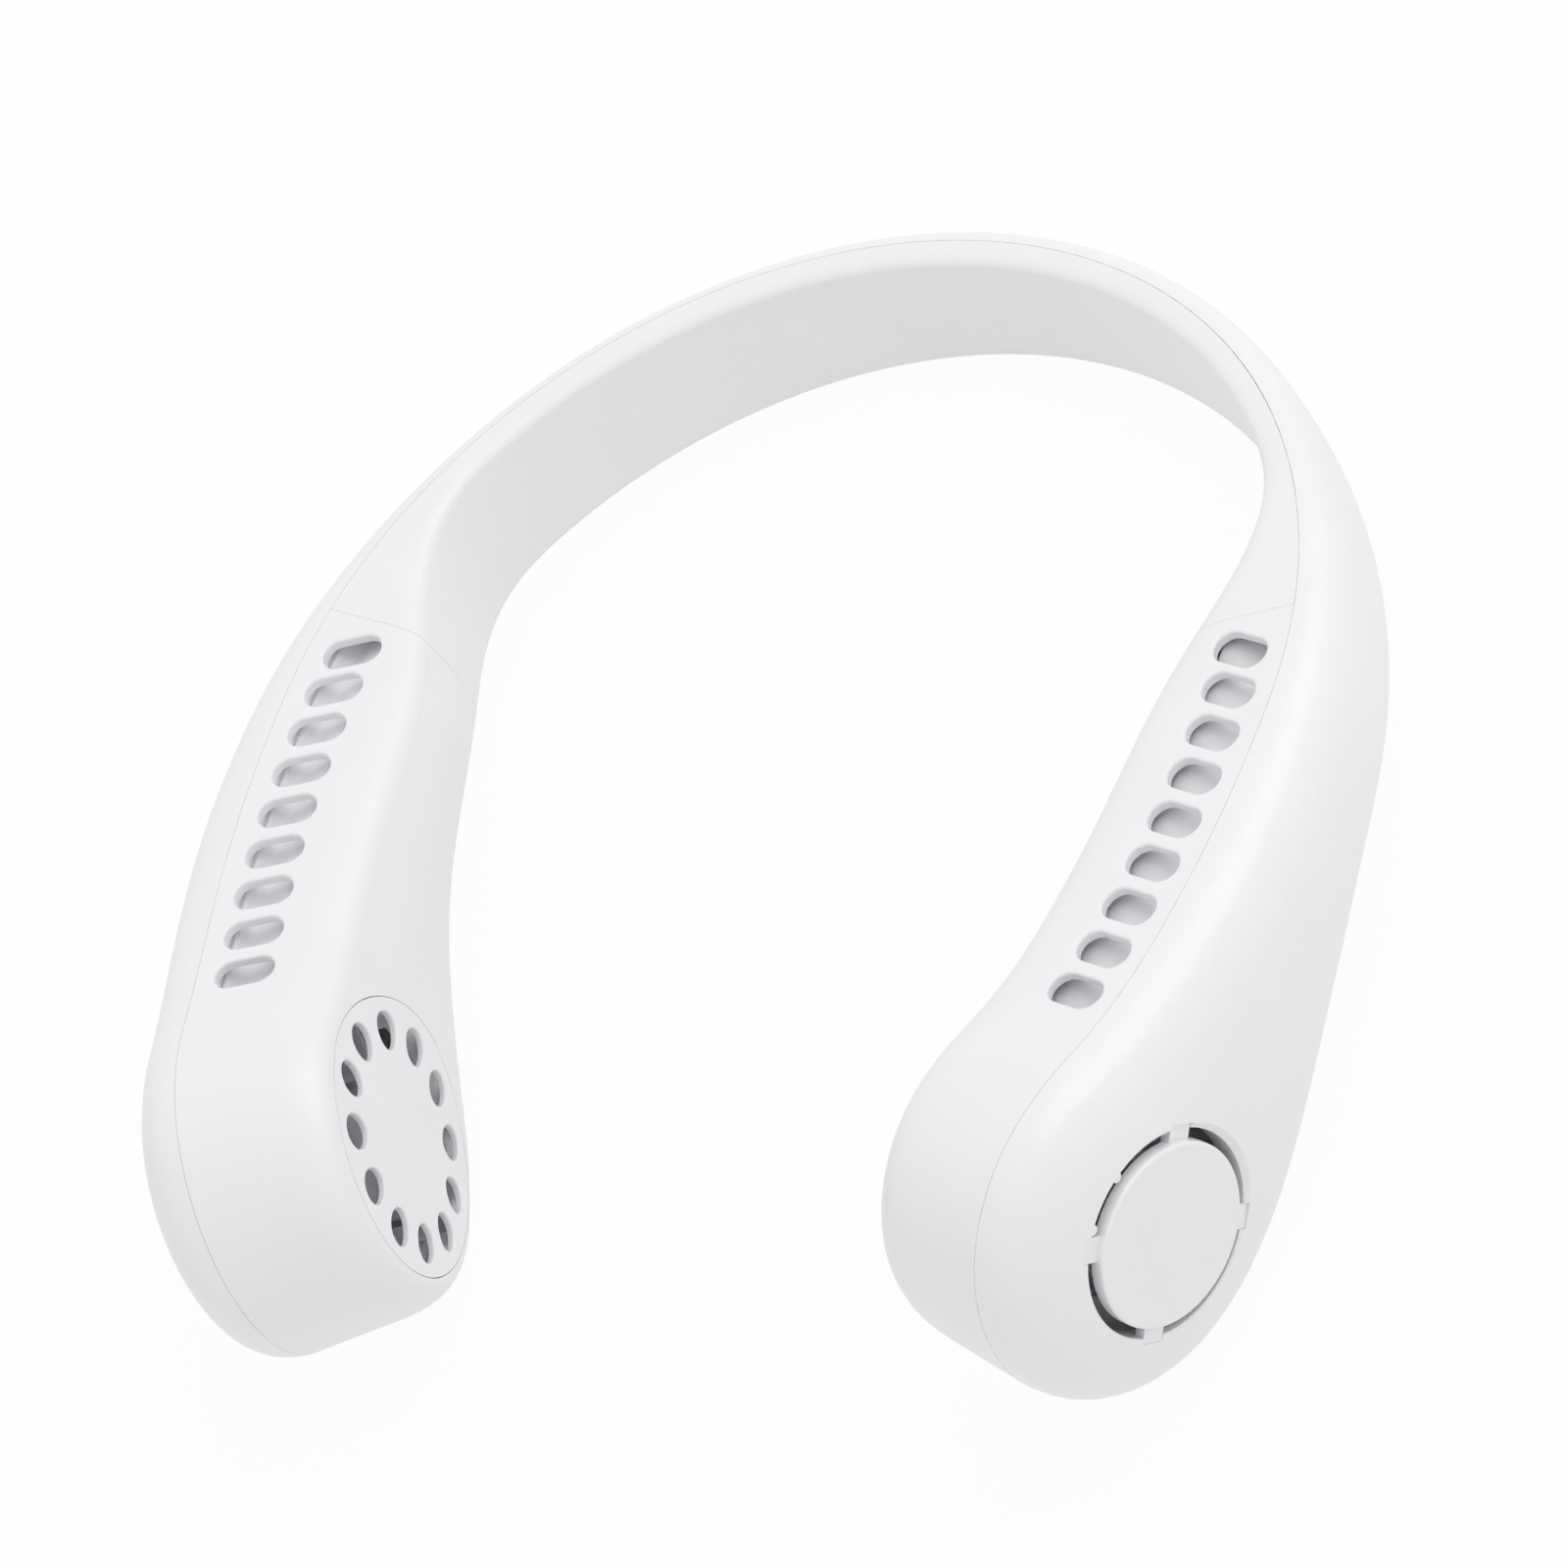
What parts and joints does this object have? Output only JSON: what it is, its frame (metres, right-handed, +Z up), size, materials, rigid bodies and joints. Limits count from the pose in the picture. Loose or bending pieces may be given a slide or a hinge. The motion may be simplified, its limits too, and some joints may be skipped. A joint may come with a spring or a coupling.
{
  "type": "electric neck fan",
  "caption": "U-shaped electric fan worn round the neck: a thin band joins two arms, each with a blower behind a round grille and a row of air slots on top.",
  "frame": {"origin": "on the surface it rests on, under the middle of its footprint", "axes": "+X to the right arm, +Y towards the band, +Z up"},
  "size_m": [0.189, 0.1862, 0.054],
  "materials": {
    "outer_shell": "satin moulded white ABS",
    "inner_shell": "satin moulded white ABS",
    "inner_plastic": "moulded white ABS",
    "fan_wheel": "moulded pale grey plastic",
    "steel": "nickel plated",
    "bush": "sintered bronze",
    "cell_wrap": "foil pouch",
    "foam": "foam tape",
    "board": "solder resist",
    "switch": "moulded",
    "lens": "clear light pipe",
    "lead": "insulated lead"
  },
  "bodies": {
    "housing": {"band_cable": "lead", "board_screws": "steel", "charge_socket": "steel", "control_board": "board", "indicator_led": "lens", "indicator_lens": "lens", "key_switch": "switch", "left_battery": "cell_wrap", "left_battery_lead": "lead", "left_battery_pad": "foam", "left_bracket_screws": "steel", "left_duct_plate": "inner_plastic", "left_inner_housing": "inner_shell", "left_intake_grille": "inner_shell", "left_motor_bracket": "inner_plastic", "left_motor_can": "steel", "left_motor_lead": "lead", "left_outer_cap": "outer_shell", "left_shaft_bush": "bush", "neck_band_liner": "inner_shell", "outer_shell": "outer_shell", "right_battery": "cell_wrap", "right_battery_pad": "foam", "right_bracket_screws": "steel", "right_duct_plate": "inner_plastic", "right_inner_housing": "inner_shell", "right_intake_grille": "inner_shell", "right_motor_bracket": "inner_plastic", "right_motor_can": "steel", "right_motor_lead": "lead", "right_outer_cap": "outer_shell", "right_shaft_bush": "bush"},
    "right_fan": {"right_impeller": "fan_wheel", "right_motor_shaft": "steel"},
    "left_fan": {"left_impeller": "fan_wheel", "left_motor_shaft": "steel"},
    "power_key": {"power_button": "outer_shell", "key_plunger": "switch"}
  },
  "joints": [
    {"name": "right_fan_spin", "type": "hinge", "parent": "housing", "child": "right_fan", "pos_m": [0.0724, -0.06695, 0.02703], "axis": [0.9421, -0.3304, 0.0581], "continuous": true},
    {"name": "left_fan_spin", "type": "hinge", "parent": "housing", "child": "left_fan", "pos_m": [-0.0724, -0.06695, 0.02703], "axis": [-0.9421, -0.3304, 0.0581], "continuous": true},
    {"name": "power_press", "type": "slide", "parent": "housing", "child": "power_key", "axis": [0.9862, 0.163, -0.0287], "range_m": [0, 0.0004], "stiffness_N_per_m": 1200}
  ]
}
